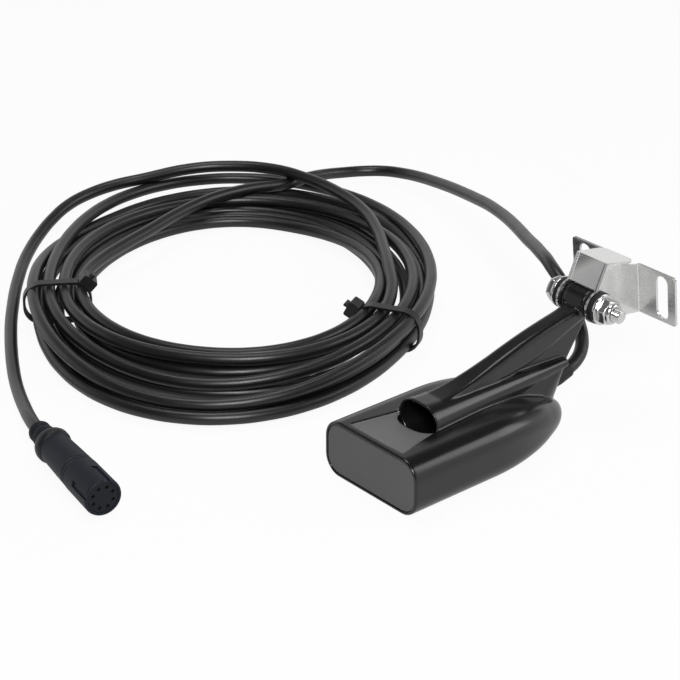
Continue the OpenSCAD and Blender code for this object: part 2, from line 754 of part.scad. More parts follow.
module plug_boot() {
  color("#1a1c20") on_plug(0) difference() {
    rotate_extrude() polygon([[0, 0], [boot_d / 2 - 1.6, 0], [boot_d / 2 - 0.4, boot_l * 0.2],
      [boot_d / 2 - 0.4, boot_l * 0.36], [boot_d / 2 - 1.3, boot_l * 0.4], [boot_d / 2 - 1.3, boot_l * 0.5],
      [boot_d / 2, boot_l * 0.56], [boot_d / 2, boot_l], [0, boot_l]]);
    translate([0, 0, -1]) cylinder(h = boot_grip + 1, d = cable_d + 2 * pot_gap);
  }
}

module plug_ring() {
  color("#0c0d0f") on_plug(boot_l) rotate_extrude()
    polygon([[0, 0], [ring_d / 2 - 1.2, 0], [ring_d / 2, 1], [ring_d / 2, ring_l - 0.6],
      [ring_d / 2 - 0.6, ring_l], [0, ring_l]]);
}

module plug_shell() {
  bore = plug_d - 2 * shell_wall;
  color("#1e2126") on_plug(boot_l + ring_l) difference() {
    union() {
      cylinder(h = plug_l - 1, d = plug_d);
      translate([0, 0, plug_l - 1]) cylinder(h = 1, d1 = plug_d, d2 = plug_d - 1.4);
    }
    translate([0, 0, plug_l * 0.4]) cylinder(h = plug_l, d = bore);
    translate([0, 0, plug_l * 0.48]) difference() {
      cylinder(h = 1.2, d = plug_d + 2);
      translate([0, 0, -1]) cylinder(h = 4, d = plug_d - 0.8);
    }
    for (a = key_turns) rotate(a) translate([plug_d / 2 - shell_wall * 0.6, -key_w / 2, plug_l - key_l])
      cube([shell_wall * 2, key_w, key_l + 1]);
  }
}

module plug_insert() {
  color("#1b1e23") on_plug(boot_l + ring_l + plug_l * 0.4) difference() {
    cylinder(h = plug_l * 0.6 - 0.4, d = plug_d - 2 * shell_wall - 2 * pot_gap);
    for (i = [0:contacts - 1]) rotate(360 * (i + 0.5) / contacts)
      translate([contact_circle / 2, 0, plug_l * 0.3]) cylinder(h = plug_l, d = contact_d);
  }
}

module plug_contacts() {
  color("#c8a94e") on_plug(boot_l + ring_l + plug_l * 0.7)
    for (i = [0:contacts - 1]) rotate(360 * (i + 0.5) / contacts) translate([contact_circle / 2, 0, 0])
      difference() {
        cylinder(h = plug_l * 0.3 - 2, d = contact_d - 2 * pot_gap);
        translate([0, 0, 2]) cylinder(h = plug_l, d = contact_d / 2);
      }
}

housing();
tail_cap();
sonar_disc();
disc_backing();
downscan_bar();
bar_backing();
temperature_sensor();
potting_fill();
cable_gland();
transducer_ratchets();
bracket();
bracket_ratchets();
pivot_bolt();
lock_nut();
metal_washers();
rubber_washers();
cable_lead();
cable_coil();
cable_tail();
cable_tie_left();
cable_tie_right();
plug_boot();
plug_ring();
plug_shell();
plug_insert();
plug_contacts();
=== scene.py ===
# %% [markdown]
# # A transom sonar transducer, dressed over its CAD frame
#
# The part is a black moulded sonar head on a stainless bracket, with about six metres of
# cable in a tied coil and a round eight-way connector. The CAD model already fixes every
# size and every joint. This lesson loads it as a fixed frame and adds what CAD leaves out:
# the cable itself, soft moulded edges, threads, and the finishes. Blender's lengths are in
# metres, and `MM` turns the millimetres of the drawing into them.

# %% Load the frame
import json
from math import cos, hypot, pi, radians, sin, tan

import bmesh
import bpy
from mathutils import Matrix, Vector

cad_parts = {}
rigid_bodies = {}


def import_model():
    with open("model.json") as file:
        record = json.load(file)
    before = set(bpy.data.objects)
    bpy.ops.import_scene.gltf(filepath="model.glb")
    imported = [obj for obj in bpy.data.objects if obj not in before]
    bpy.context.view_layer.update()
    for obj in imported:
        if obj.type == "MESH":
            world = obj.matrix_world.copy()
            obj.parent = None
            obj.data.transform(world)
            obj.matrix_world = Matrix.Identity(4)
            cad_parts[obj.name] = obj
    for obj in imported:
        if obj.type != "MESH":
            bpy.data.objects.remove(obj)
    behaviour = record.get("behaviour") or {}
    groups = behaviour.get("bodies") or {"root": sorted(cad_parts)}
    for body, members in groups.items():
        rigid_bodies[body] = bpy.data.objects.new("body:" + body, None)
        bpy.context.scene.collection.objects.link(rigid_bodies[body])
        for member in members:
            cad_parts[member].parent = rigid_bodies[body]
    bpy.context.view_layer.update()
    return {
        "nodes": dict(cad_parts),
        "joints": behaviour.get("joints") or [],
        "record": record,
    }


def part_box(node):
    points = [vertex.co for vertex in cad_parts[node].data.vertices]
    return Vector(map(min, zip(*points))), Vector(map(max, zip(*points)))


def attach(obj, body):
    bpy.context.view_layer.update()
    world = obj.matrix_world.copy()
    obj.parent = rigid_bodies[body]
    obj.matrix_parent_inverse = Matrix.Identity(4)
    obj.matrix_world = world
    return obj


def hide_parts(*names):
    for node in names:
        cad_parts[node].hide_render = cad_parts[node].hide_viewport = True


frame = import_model()
MM = 0.001

# %% [markdown]
# ## The camera
#
# The photograph looks down on the tail from the left with a long lens. A camera can be
# placed by eye, but this one was solved from matched points of the model and the picture,
# so it has plain numbers for its place, its turn and its lens. Depth of field stays off,
# because other views reuse the same camera.

# %% Place the camera


def add(name, data):
    """New object of some data, linked to the scene."""
    made = bpy.data.objects.new(name, data)
    bpy.context.scene.collection.objects.link(made)
    return made


lens = bpy.data.cameras.new("photo_lens")
lens.lens, lens.sensor_width, lens.sensor_fit = 116.3, 36, "HORIZONTAL"
lens.clip_start, lens.clip_end = 0.01, 20
camera = add("photo_camera", lens)
camera.location = (-0.57459, -0.57229, 0.44832)
camera.rotation_euler = (radians(63.535), 0, radians(-40.338))
bpy.context.scene.camera = camera
bpy.context.scene.view_settings.view_transform = "Standard"
print("camera stands", round(camera.location.length, 3), "m from the origin")

# %% [markdown]
# ## The cable
#
# The real cable is one piece: it leaves the gland under the bracket, runs back to a coil of
# nine turns, and comes off the top of the coil to the connector. Rings could be swept along
# it by hand, but a curve with a round bevel makes the tube by itself and keeps one centre
# line, which is what measures its length. The two free stretches repeat the route that the
# CAD solids follow, in millimetres.

# %% The cable's two free stretches
CABLE_D = 5.9 * MM
LEAD = [(28.1, 0, 18.5), (38.5, 0, 20), (44.4, 0.8, 21.6), (49.6, 2.8, 24.6), (53, 6, 28.6),
        (54.6, 9.4, 32.6), (55.4, 13, 37), (56.2, 17, 41.2), (57.4, 21.6, 44.8), (59, 27.2, 47.4),
        (61.8, 34, 48.8), (66, 41.4, 48.8), (71.6, 50, 47), (79, 61, 44.4), (87.5, 74, 41),
        (96, 87, 38), (104.4, 100, 35), (112.4, 113, 32), (120, 127, 29), (127, 141.5, 26),
        (133.4, 156.5, 22.6), (139.4, 172, 19.2), (144.6, 187.5, 16), (149, 203, 12.8),
        (152, 218, 10), (152.6, 231, 7.8), (149.4, 243, 6.4), (141.6, 251.6, 5.8),
        (131, 256, 6.4), (119, 257, 8.2), (106, 255.6, 10.2), (93, 254.6, 10.8)]
TAIL = [(35, 304.6, 13), (20, 309.6, 11.8), (5, 311, 10.4), (-9, 308.6, 9), (-22.6, 303, 6.8),
        (-35.6, 295, 4.8), (-47.6, 285.4, 3.5), (-58.6, 274.6, 3), (-69, 262.6, 3),
        (-79.4, 249.8, 3), (-89.2, 236.6, 3), (-98.6, 223.4, 3), (-107.4, 210, 3),
        (-115.8, 196.4, 3), (-123.6, 183, 3), (-130.8, 169.6, 3.2), (-137.4, 156, 4.2),
        (-143.4, 142.6, 5.8), (-148.6, 130.4, 7.6), (-152.4, 118.6, 8.5), (-154, 109.7, 8.5)]
print("free stretches:", len(LEAD), "and", len(TAIL), "points")

# %% [markdown]
# ## The turns of the coil
#
# A hand-wound coil is an oval bundle. The two ties squeeze it to a neat stack, and between
# them the turns spread and sink. Each turn therefore gets a seat in the stack at the ties,
# a seat at the front of the oval, and one at the back, where it moves on to the next turn's
# seat. A seat is how far out it lies from the middle line of the bundle, and how high. At the
# back it also says how soon the turn drops, how late it rises, and how late and how sharply it
# swings out. Where the cable joins and leaves the coil, a seat starts with its angle.

# %% Seats of the nine turns
COIL_AT, COIL_TURN = (-3.4, 178.2), radians(48)
COIL_LONG, COIL_SHORT = 107, 82
TIE_LEFT, TIE_RIGHT = 103, 244
AT_TIES = [(-10.9, 16), (-9, 4.4), (-7.3, 10.2), (0, 4.4), (7.3, 10.2), (9, 4.4), (10.9, 16),
           (3.6, 16), (-3.6, 16)]
AT_FRONT = [(-22, 15), (-20.5, 4.4), (-14, 10), (-4, 5.1), (10, 4.4), (18.2, 4.6), (13.4, 8.4),
            (-2.2, 10.4), (-15, 16)]
AT_BACK = [(-22, 4.4, 0.45, 0.45, 1, 1), (-15.6, 4.4, 0.45, 0.45, 1, 1),
           (-8.8, 4.4, 0.45, 0.45, 1, 1), (-2, 4.4, 0.45, 0.4, 1, 1),
           (4.8, 4.4, 0.45, 0.45, 1, 1), (17.5, 4.4, 0.45, 0.28, 1, 1),
           (34, 4.6, 0.45, 0.55, 1.15, 1.5), (-5.4, 9.2, 0.45, 0.45, 1, 1)]
LEAD_IN = [(0, -2, 14), (14, -14.5, 15.6), (28, -21.5, 15.8), (42, -25.5, 15.8),
           (56, -26.6, 15.6), (70, -23.4, 15.6), (84, -17, 15.8), (94, -12.8, 16)]
TAIL_OUT = [(258, -5.4, 16.8), (272, -8.6, 17.2), (286, -8.6, 16.8), (300, -4.8, 16.4),
            (314, 0.8, 16.2), (328, 6.4, 16.2), (342, 13.6, 16.2), (354, 21, 16.2),
            (366, 26, 15.6), (376, 28.6, 14.8)]


def on_coil(degrees, out, height):
    """Point of the coil at an angle round the oval, so far out from its middle line."""
    a = radians(degrees)
    ox, oy = cos(a) / COIL_LONG, sin(a) / COIL_SHORT
    x = COIL_LONG * cos(a) + out * ox / hypot(ox, oy)
    y = COIL_SHORT * sin(a) + out * oy / hypot(ox, oy)
    c, s = cos(COIL_TURN), sin(COIL_TURN)
    return (COIL_AT[0] + x * c - y * s, COIL_AT[1] + x * s + y * c, height)


print("coil's front point:", [round(v, 1) for v in on_coil((TIE_LEFT + TIE_RIGHT) / 2, 0, 10)])

# %% Wind the turns
FRONT_STEPS, BACK_STEPS = 14, 22


def shares(steps):
    """Shares of a way, from 0 to 1 in equal steps."""
    return [i / steps for i in range(steps + 1)]


def ease(f):
    return f * f * (3 - 2 * f)


def swell(f):
    return sin(pi * f) ** 2


def front_run(k, f):
    """Turn k at a share f of the way from the left tie, past the front, to the right tie."""
    (u0, z0), (u1, z1) = AT_TIES[k], AT_FRONT[k]
    return on_coil(TIE_LEFT + (TIE_RIGHT - TIE_LEFT) * f,
                   u0 + (u1 - u0) * swell(f), z0 + (z1 - z0) * swell(f))


def back_run(k, f):
    """Turn k at a share f of the way round the back, where it takes the next turn's seat."""
    (u0, z0), (u1, z1), (um, zm, drop, rise, lag, peak) = AT_TIES[k], AT_TIES[k + 1], AT_BACK[k]
    out = u0 + (u1 - u0) * ease(f) + (um - (u0 + u1) / 2) * swell(f ** lag) ** peak
    down, up = 1 - ease(min(f / drop, 1)), 1 - ease(min((1 - f) / rise, 1))
    return on_coil(TIE_RIGHT + (360 + TIE_LEFT - TIE_RIGHT) * f, out,
                   zm + (z0 - zm) * down + (z1 - zm) * up)


turns = [on_coil(*seat) for seat in LEAD_IN]
for k in range(len(AT_TIES)):
    turns += [front_run(k, f) for f in shares(FRONT_STEPS)]
    if k < len(AT_BACK):
        turns += [back_run(k, f) for f in shares(BACK_STEPS)[1:-1]]
turns += [on_coil(*seat) for seat in TAIL_OUT]
print("coil:", len(turns), "points over", len(AT_TIES), "turns")

# %% Draw the cable as one curve
route = [Vector(p) * MM for p in LEAD + turns + TAIL]
cable_line = bpy.data.curves.new("cable", "CURVE")
cable_line.dimensions = "3D"
cable_line.bevel_depth, cable_line.bevel_resolution = CABLE_D / 2, 5
cable_line.resolution_u = 5
cable_line.use_fill_caps = True
strand = cable_line.splines.new("BEZIER")
strand.bezier_points.add(len(route) - 1)
for knot, place in zip(strand.bezier_points, route):
    knot.co = place
    knot.handle_left_type = knot.handle_right_type = "AUTO"

# %% [markdown]
# Blender measures a curve's box from its control points and their unit radius, which would
# make the cable seem metres wide. So the curve is turned into a mesh tube, once with its bevel
# for the jacket and once without, which gives the centre line that the tube follows.

# %% Turn the curve into a tube


def mesh_of(line):
    """Mesh that Blender makes of a curve."""
    holder = add("holder", line)
    graph = bpy.context.evaluated_depsgraph_get()
    made = bpy.data.meshes.new_from_object(holder.evaluated_get(graph))
    bpy.data.objects.remove(holder)
    return made


def shade_smooth(mesh):
    for face in mesh.polygons:
        face.use_smooth = True


tube = mesh_of(cable_line)
cable_line.bevel_depth = 0
centre_line = [tuple(v.co) for v in mesh_of(cable_line).vertices]
shade_smooth(tube)
cable = add("cable", tube)
print("tube:", len(tube.polygons), "faces along", len(centre_line), "points")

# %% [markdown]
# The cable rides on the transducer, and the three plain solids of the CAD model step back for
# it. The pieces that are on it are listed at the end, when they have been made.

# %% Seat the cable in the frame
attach(cable, "transducer")
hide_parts("cable_lead", "cable_coil", "cable_tail")

# %% [markdown]
# ## Studio
#
# The photograph is cut out on white. A white floor could simply be lit until it clips, but
# that would flood the black plastic with light. Here three soft lamps light the object at a
# plain level, and the white comes from the materials of the floor and the world further down.

# %% Floor and lamps


def from_bmesh(name, bm):
    """Object of a finished bmesh."""
    mesh = bpy.data.meshes.new(name)
    bm.to_mesh(mesh)
    bm.free()
    return add(name, mesh)


def soft_lamp(name, place, aim, width, watts):
    """Square area lamp that looks at a point."""
    data = bpy.data.lights.new(name, "AREA")
    data.shape, data.size, data.energy = "SQUARE", width, watts
    lamp = add(name, data)
    lamp.location = place
    lamp.rotation_euler = (Vector(aim) - Vector(place)).to_track_quat("-Z", "Y").to_euler()
    return lamp


sheet = bmesh.new()
bmesh.ops.create_grid(sheet, x_segments=8, y_segments=8, size=4)
floor = from_bmesh("studio_floor", sheet)
floor.location.z = -0.2 * MM
soft_lamp("key_softbox", (-0.75, -0.95, 1.05), (0, 0.12, 0), 0.45, 19)
soft_lamp("overhead_softbox", (0.1, 0.4, 1.5), (0, 0.12, 0), 0.7, 7)
soft_lamp("right_softbox", (1.2, -0.9, 0.9), (0, 0.1, 0), 0.8, 6)

# %% [markdown]
# ## Shader sums in plain Python
#
# Materials are networks of nodes. Wiring each node by hand hides the idea, so one small class
# wraps a socket: `1 - mask` or `grain * 0.2` then adds the Math nodes by itself. Everything
# that isn't arithmetic comes from `node`, which takes the node's type, its settings, and what
# goes into its sockets.

# %% A socket that can be used in sums


def feed(tree, socket, value):
    """Links a Socket to a node's input, or sets the input to a plain value."""
    if isinstance(value, Socket):
        tree.links.new(value.out, socket)
    else:
        socket.default_value = value


class Socket:
    """One output socket; arithmetic on it adds Math nodes to the same tree."""

    def __init__(self, tree, out):
        self.tree, self.out = tree, out

    def node(self, kind, settings=None, values=None, give=0):
        made = self.tree.nodes.new(kind)
        for key, value in (settings or {}).items():
            setattr(made, key, value)
        for key, value in (values or {}).items():
            feed(self.tree, made.inputs[key], value)
        return Socket(self.tree, made.outputs[give])

    def sum(self, operation, first, second):
        return self.node("ShaderNodeMath", {"operation": operation}, {0: first, 1: second})

    def __add__(self, other):
        return self.sum("ADD", self, other)

    def __radd__(self, other):
        return self.sum("ADD", other, self)

    def __sub__(self, other):
        return self.sum("SUBTRACT", self, other)

    def __rsub__(self, other):
        return self.sum("SUBTRACT", other, self)

    def __mul__(self, other):
        return self.sum("MULTIPLY", self, other)

    def __rmul__(self, other):
        return self.sum("MULTIPLY", other, self)

    def axis(self, i):
        """X, Y or Z of a vector."""
        return self.node("ShaderNodeSeparateXYZ", None, {0: self}, i)

    def clip(self):
        return self.node("ShaderNodeClamp", None, {"Value": self})

    def between(self, low, high):
        return self.sum("GREATER_THAN", self, low) * self.sum("LESS_THAN", self, high)

    def fade(self, start, stop, low, high):
        """Goes smoothly from low to high as this value goes from start to stop."""
        return self.node("ShaderNodeMapRange", {"interpolation_type": "SMOOTHSTEP"},
                         {0: self, 1: start, 2: stop, 3: low, 4: high})

    def tint(self, dark, light):
        """Colour that goes from dark to light as this value goes from 0 to 1."""
        ends = [c if isinstance(c, Socket) else (*c, 1) for c in (dark, light)]
        return self.node("ShaderNodeMix", {"data_type": "RGBA"},
                         {"Factor": self, 6: ends[0], 7: ends[1]}, 2)


print("socket sums ready:", [n for n in vars(Socket) if n.startswith("__r")])

# %% [markdown]
# ## White that hardly lights
#
# The floor and the world are fully white only for rays that come from the camera or a mirror,
# so black plastic stays black. For other rays the floor is plain paper, which keeps the shadow,
# and the world gives less than half of its light. A studio is also dark overhead and behind the
# camera, and that is what gives the cable its contrast: the world fades with height and away
# from the backdrop.

# %% The white studio


def seen_white(tree, in_gloss=1.0):
    """1 for rays from the camera, in_gloss for mirrored ones, and 0 for light on surfaces."""
    path = tree.nodes.new("ShaderNodeLightPath")
    camera_ray, gloss_ray, glass_ray = [
        Socket(tree, path.outputs[n])
        for n in ("Is Camera Ray", "Is Glossy Ray", "Is Transmission Ray")]
    return (camera_ray + (gloss_ray + glass_ray) * in_gloss).clip()


BACKDROP, AMBIENT = (0.85, 0.5, 0), 0.45
world = bpy.data.worlds.new("white_studio")
world.use_nodes = True
sky = world.node_tree.nodes["Background"]
sky.inputs["Color"].default_value = (1, 1, 1, 1)
looking = Socket(world.node_tree, world.node_tree.nodes.new("ShaderNodeTexCoord").outputs[0])
facing = looking.node("ShaderNodeVectorMath", {"operation": "DOT_PRODUCT"},
                      {0: looking, 1: BACKDROP}, 1)
overhead, behind = looking.axis(2).fade(0.25, 0.75, 1.0, 0.1), facing.fade(-0.6, 0.0, 0.1, 1.0)
feed(world.node_tree, sky.inputs["Strength"],
     overhead * behind * (seen_white(world.node_tree) * (1 - AMBIENT) + AMBIENT))
bpy.context.scene.world = world
print("world has", len(world.node_tree.nodes), "nodes")

# %% White paper for the floor
paper = bpy.data.materials.new("white_paper")
paper.use_nodes = True
tree = paper.node_tree
matt = tree.nodes["Principled BSDF"]
matt.inputs["Base Color"].default_value = (0.86, 0.86, 0.86, 1)
matt.inputs["Roughness"].default_value = 0.9
matt.inputs["Specular IOR Level"].default_value = 0.1
glow = tree.nodes.new("ShaderNodeEmission")
blend_in = tree.nodes.new("ShaderNodeMixShader")
feed(tree, blend_in.inputs["Fac"], seen_white(tree, 0.4) * 0.93)
tree.links.new(matt.outputs[0], blend_in.inputs[1])
tree.links.new(glow.outputs[0], blend_in.inputs[2])
tree.links.new(blend_in.outputs[0], tree.nodes["Material Output"].inputs["Surface"])
floor.data.materials.append(paper)
print("paper has", len(tree.nodes), "nodes")

# %% [markdown]
# ## A finish
#
# Every finish starts from the same place: a Principled shader whose constants are set on its
# own sockets, and a point of the object in millimetres, so that a grain of 0.2 mm can be
# written as 0.2. What changes over the surface then feeds colour, roughness and bump only.

# %% Start a finish


def start_finish(name, **constants):
    """New material: its shader with constants set, and the place on the object in mm."""
    made = bpy.data.materials.new(name)
    made.use_nodes = True
    shader = made.node_tree.nodes["Principled BSDF"]
    for key, value in constants.items():
        shader.inputs[key.replace("_", " ")].default_value = value
    coords = made.node_tree.nodes.new("ShaderNodeTexCoord")
    metres = Socket(made.node_tree, coords.outputs["Object"])
    place = metres.node("ShaderNodeVectorMath", {"operation": "SCALE"},
                        {0: metres, "Scale": 1 / MM})
    return made, shader, place


def grain(place, size, detail=3.0, rough=0.55):
    """Cloudy noise whose blobs are about size mm across."""
    return place.node("ShaderNodeTexNoise", None,
                      {"Vector": place, "Scale": 0.5 / size, "Detail": detail, "Roughness": rough})


def relief(height, depth_mm):
    """Bump of a height from 0 to 1 that stands depth_mm proud."""
    return height.node("ShaderNodeBump", None, {"Height": height, "Distance": depth_mm * MM})


def wire(material, shader, **links):
    for key, value in links.items():
        feed(material.node_tree, shader.inputs[key.replace("_", " ")], value)
    return material


finishes = {}
print("finish helpers ready")

# %% [markdown]
# ## Moulded plastics
#
# Real mouldings are never one flat tone: the tool's polish varies in broad patches, and
# handling leaves fine dull spots. Broad noise moves the roughness, fine noise gives a very
# shallow grain, and the colour follows only a little.

# %% Moulded plastics
PATCH_MM = 9


def moulded(name, dark, light, gloss, spread, grain_mm, depth_mm, sheen=0.5):
    """Moulded plastic: tone between dark and light, and polish that varies in patches."""
    made, shader, place = start_finish(name, Specular_IOR_Level=sheen)
    patches, fine = grain(place, PATCH_MM), grain(place, grain_mm, 2.0)
    tone = (patches * 0.7 + fine * 0.3).clip()
    polish = patches * spread + fine * (spread * 0.5) + (gloss - spread * 0.75)
    return wire(made, shader, Base_Color=tone.tint(dark, light), Roughness=polish,
                Normal=relief(fine, depth_mm))


finishes["cap_plastic"] = moulded("cap_grey", (0.084, 0.085, 0.087), (0.112, 0.113, 0.115),
                                  0.62, 0.10, 0.22, 0.02, 0.35)
finishes["ratchet_plastic"] = moulded("ratchet_black", (0.006, 0.006, 0.006),
                                      (0.014, 0.014, 0.014), 0.45, 0.1, 0.4, 0.006, 0.4)
finishes["tie_nylon"] = moulded("tie_black", (0.005, 0.005, 0.005), (0.014, 0.014, 0.014),
                                0.38, 0.12, 0.5, 0.006, 0.35)
finishes["ring_plastic"] = moulded("collar_black", (0.006, 0.0062, 0.007),
                                   (0.013, 0.0135, 0.015), 0.42, 0.1, 0.3, 0.008, 0.3)
finishes["shell_plastic"] = moulded("plug_blue_black", (0.007, 0.0088, 0.013),
                                    (0.014, 0.0172, 0.025), 0.5, 0.12, 0.3, 0.01, 0.16)
finishes["insert_plastic"] = moulded("insert_black", (0.006, 0.0072, 0.010),
                                     (0.012, 0.0142, 0.019), 0.55, 0.1, 0.3, 0.01, 0.16)
print("moulded finishes:", sorted(finishes))

# %% [markdown]
# The housing has two surfaces from one tool: polished black all over, and a satin floor in the
# tray behind the tail. The satin is real and makes the tray rougher; the tray's grey colour is a
# painted reflection of the bright sky that the satin catches. One mask, from the place on the
# object, tells them apart, so the housing stays one material.

# %% Housing black with its satin tray and painted sheen
SATIN_AND_PAINTED_SHEEN_X, SATIN_AND_PAINTED_SHEEN_Y, SATIN_AND_PAINTED_SHEEN_Z = (-69.6, -47.8), (-15.4, 15.4), (23.6, 24.75)
black, shader, place = start_finish("housing_black", Specular_IOR_Level=0.5)
patches, fine = grain(place, PATCH_MM), grain(place, 0.5, 2.0)
# Mask of the tray floor: real satin roughness, and a painted sky reflection in its colour.
satin_and_painted_sheen = (place.axis(0).between(*SATIN_AND_PAINTED_SHEEN_X) * place.axis(1).between(*SATIN_AND_PAINTED_SHEEN_Y)
         * place.axis(2).between(*SATIN_AND_PAINTED_SHEEN_Z))
tone = (patches * 0.7 + fine * 0.3).clip()
gloss_black = tone.tint((0.0035, 0.0035, 0.004), (0.007, 0.007, 0.0075))
# The tray's grey base colour is a painted reflection of the sky, not the plastic's own colour.
finishes["housing_plastic"] = wire(
    black, shader, Base_Color=satin_and_painted_sheen.tint(gloss_black, (0.12, 0.12, 0.121)),
    Roughness=patches * 0.08 + fine * 0.04 + 0.16 + satin_and_painted_sheen * 0.3, Normal=relief(fine, 0.003))
print("housing finish has", len(black.node_tree.nodes), "nodes")

# %% [markdown]
# ## Rubber, jacket and inner fills
#
# The cable's jacket is softer than the housing: satin, with a faint unevenness along it from
# the extruder. Rubber washers and the boot are duller still. The inner pieces are out of sight
# in the closed housing, but someone may cut the part open, so they get finishes of their own.

# %% Jacket, rubber and fills
finishes["cable_jacket"] = moulded("cable_satin_black", (0.0035, 0.0035, 0.004),
                                   (0.006, 0.006, 0.0065), 0.38, 0.10, 0.7, 0.006, 0.55)
finishes["boot_rubber"] = moulded("boot_rubber", (0.006, 0.0074, 0.0105),
                                  (0.012, 0.0145, 0.020), 0.58, 0.12, 0.25, 0.012, 0.18)
finishes["washer_rubber"] = moulded("washer_rubber", (0.006, 0.006, 0.006),
                                    (0.015, 0.015, 0.015), 0.6, 0.12, 0.25, 0.012, 0.3)
finishes["gland_rubber"] = moulded("gland_rubber", (0.006, 0.006, 0.006),
                                   (0.014, 0.014, 0.014), 0.58, 0.12, 0.3, 0.012, 0.3)
finishes["ceramic"] = moulded("ceramic_cream", (0.50, 0.45, 0.36), (0.62, 0.57, 0.47),
                              0.55, 0.12, 0.25, 0.01)
finishes["cork"] = moulded("cork_brown", (0.16, 0.085, 0.035), (0.42, 0.25, 0.12),
                           0.85, 0.1, 0.8, 0.08)
finishes["foam"] = moulded("foam_grey", (0.10, 0.10, 0.11), (0.26, 0.26, 0.27), 0.9, 0.1, 0.4, 0.1)
finishes["resin"] = moulded("resin_amber", (0.10, 0.055, 0.015), (0.16, 0.09, 0.03),
                            0.2, 0.08, 1.5, 0.01)
print("finishes so far:", len(finishes))

# %% [markdown]
# ## Metals
#
# The bracket is bent from rolled stainless sheet, so its grain runs one way. Noise stretched
# along that way reads as rolling marks: it moves the roughness and leaves a trace of bump.
# Turned and stamped hardware is brighter, with small dings instead of a grain.

# %% Stainless steel


def rolled(name, dark, light, gloss, stretch):
    """Rolled or turned metal: fine marks along one way, broad clouds of polish."""
    made, shader, place = start_finish(name, Metallic=1.0)
    along = place.node("ShaderNodeVectorMath", {"operation": "MULTIPLY"}, {0: place, 1: stretch})
    marks, clouds = grain(along, 0.5, 4.0, 0.7), grain(place, 6)
    return wire(made, shader, Base_Color=(clouds * 0.6 + marks * 0.4).tint(dark, light),
                Roughness=marks * 0.16 + clouds * 0.14 + (gloss - 0.15),
                Normal=relief(marks, 0.006))


finishes["stainless_sheet"] = rolled("stainless_sheet", (0.58, 0.58, 0.58), (0.84, 0.84, 0.83),
                                     0.26, (2.5, 0.06, 2.5))
finishes["fastener_steel"] = rolled("fastener_steel", (0.48, 0.48, 0.48), (0.78, 0.78, 0.77),
                                    0.22, (1, 1, 1))
finishes["sensor_steel"] = rolled("sensor_steel", (0.42, 0.42, 0.42), (0.62, 0.62, 0.61),
                                  0.3, (1, 0.1, 1))
finishes["contact_metal"] = rolled("contact_gold", (0.55, 0.38, 0.14), (0.80, 0.58, 0.24),
                                   0.28, (1, 1, 1))
print("all finishes:", len(finishes))

# %% [markdown]
# ## Dressing the CAD nodes
#
# The record of the part says which finish each node is made of, so the nodes can be dressed
# in one loop instead of one by one.

# %% Give each node its finish
made_of = {row["node"]: row["material_slot"] for row in frame["record"]["subparts"]}


def dress(mesh, slot):
    mesh.materials.clear()
    mesh.materials.append(finishes[slot])


for node, slot in made_of.items():
    dress(frame["nodes"][node].data, slot)
dress(tube, "cable_jacket")
print("dressed:", made_of)

# %% [markdown]
# ## The moulded housing
#
# The CAD housing is right in size, but its long curves are cut into flat facets. A moulding
# has smooth curves and small radii where its forms meet. Subdividing the CAD mesh would round
# it everywhere, so the same forms are lofted again with fine rings, joined and cut with
# Booleans, and then voxel-remeshed and relaxed a little, which leaves the small fillets of a
# moulding tool along every seam.

# %% Rings and lofts


def round_ring(width, height, corner, steps):
    """Rounded rectangle about the origin, as a closed ring of flat points."""
    w, h = width / 2 - corner, height / 2 - corner
    ring = []
    for sx, sy, start in ((1, 1, 0), (-1, 1, 90), (-1, -1, 180), (1, -1, 270)):
        for i in range(steps + 1):
            a = radians(start + 90 * i / steps)
            ring.append((sx * w + corner * cos(a), sy * h + corner * sin(a)))
    return ring


def loft(name, rings):
    """Closed skin over rings of points in mm that all have the same count."""
    bm = bmesh.new()
    loops = [[bm.verts.new(Vector(p) * MM) for p in ring] for ring in rings]
    n = len(loops[0])
    for low, high in zip(loops, loops[1:]):
        for i in range(n):
            bm.faces.new((low[i], low[(i + 1) % n], high[(i + 1) % n], high[i]))
    bm.faces.new(loops[0][::-1])
    bm.faces.new(loops[-1])
    bmesh.ops.recalc_face_normals(bm, faces=bm.faces[:])
    return from_bmesh(name, bm)


print("a ring of", len(round_ring(10, 6, 2, 8)), "points")

# %% [markdown]
# The body runs straight from the tail and then closes to a blunt nose. Its rings shrink as a
# cosine, a little slower in width than in height, which keeps the shoulders full. The tail's
# place, the width and the height come from the frame.

# %% Body of the housing


def box_mm(node):
    """Lowest and highest corner of a CAD node, in millimetres."""
    return [[round(v / MM, 3) for v in corner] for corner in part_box(node)]


(TAIL_X, RIGHT_Y, _), (_, LEFT_Y, _) = box_mm("housing")
(_, _, CAP_LOW), (_, _, CAP_HIGH) = box_mm("tail_cap")
BODY_W, BODY_H, BODY_L, STRAIGHT_L = LEFT_Y - RIGHT_Y, CAP_LOW + CAP_HIGH, 100, 46
CORNER, EDGE, NOSE_Z = 8.5, 0.7, 9
NOSE_TAPER, NOSE_FALL, NOSE_SWEEP = 0.8, 1.2, radians(88)


def body_ring(x, width, low, high, corner):
    corner = min(corner, width * 0.49, (high - low) * 0.49)
    return [(TAIL_X + x, y, (low + high) / 2 + z)
            for y, z in round_ring(width, high - low, corner, 16)]


def tail_ring(a):
    inset = EDGE * (1 - sin(a))
    return body_ring(EDGE * (1 - cos(a)), BODY_W - 2 * inset, inset, BODY_H - inset, CORNER - inset)


def nose_ring(a):
    k = cos(a)
    return body_ring(STRAIGHT_L + (BODY_L - STRAIGHT_L) * sin(a), BODY_W * k ** NOSE_TAPER,
                     NOSE_Z * (1 - k), NOSE_Z + (BODY_H - NOSE_Z) * k ** NOSE_FALL, CORNER)


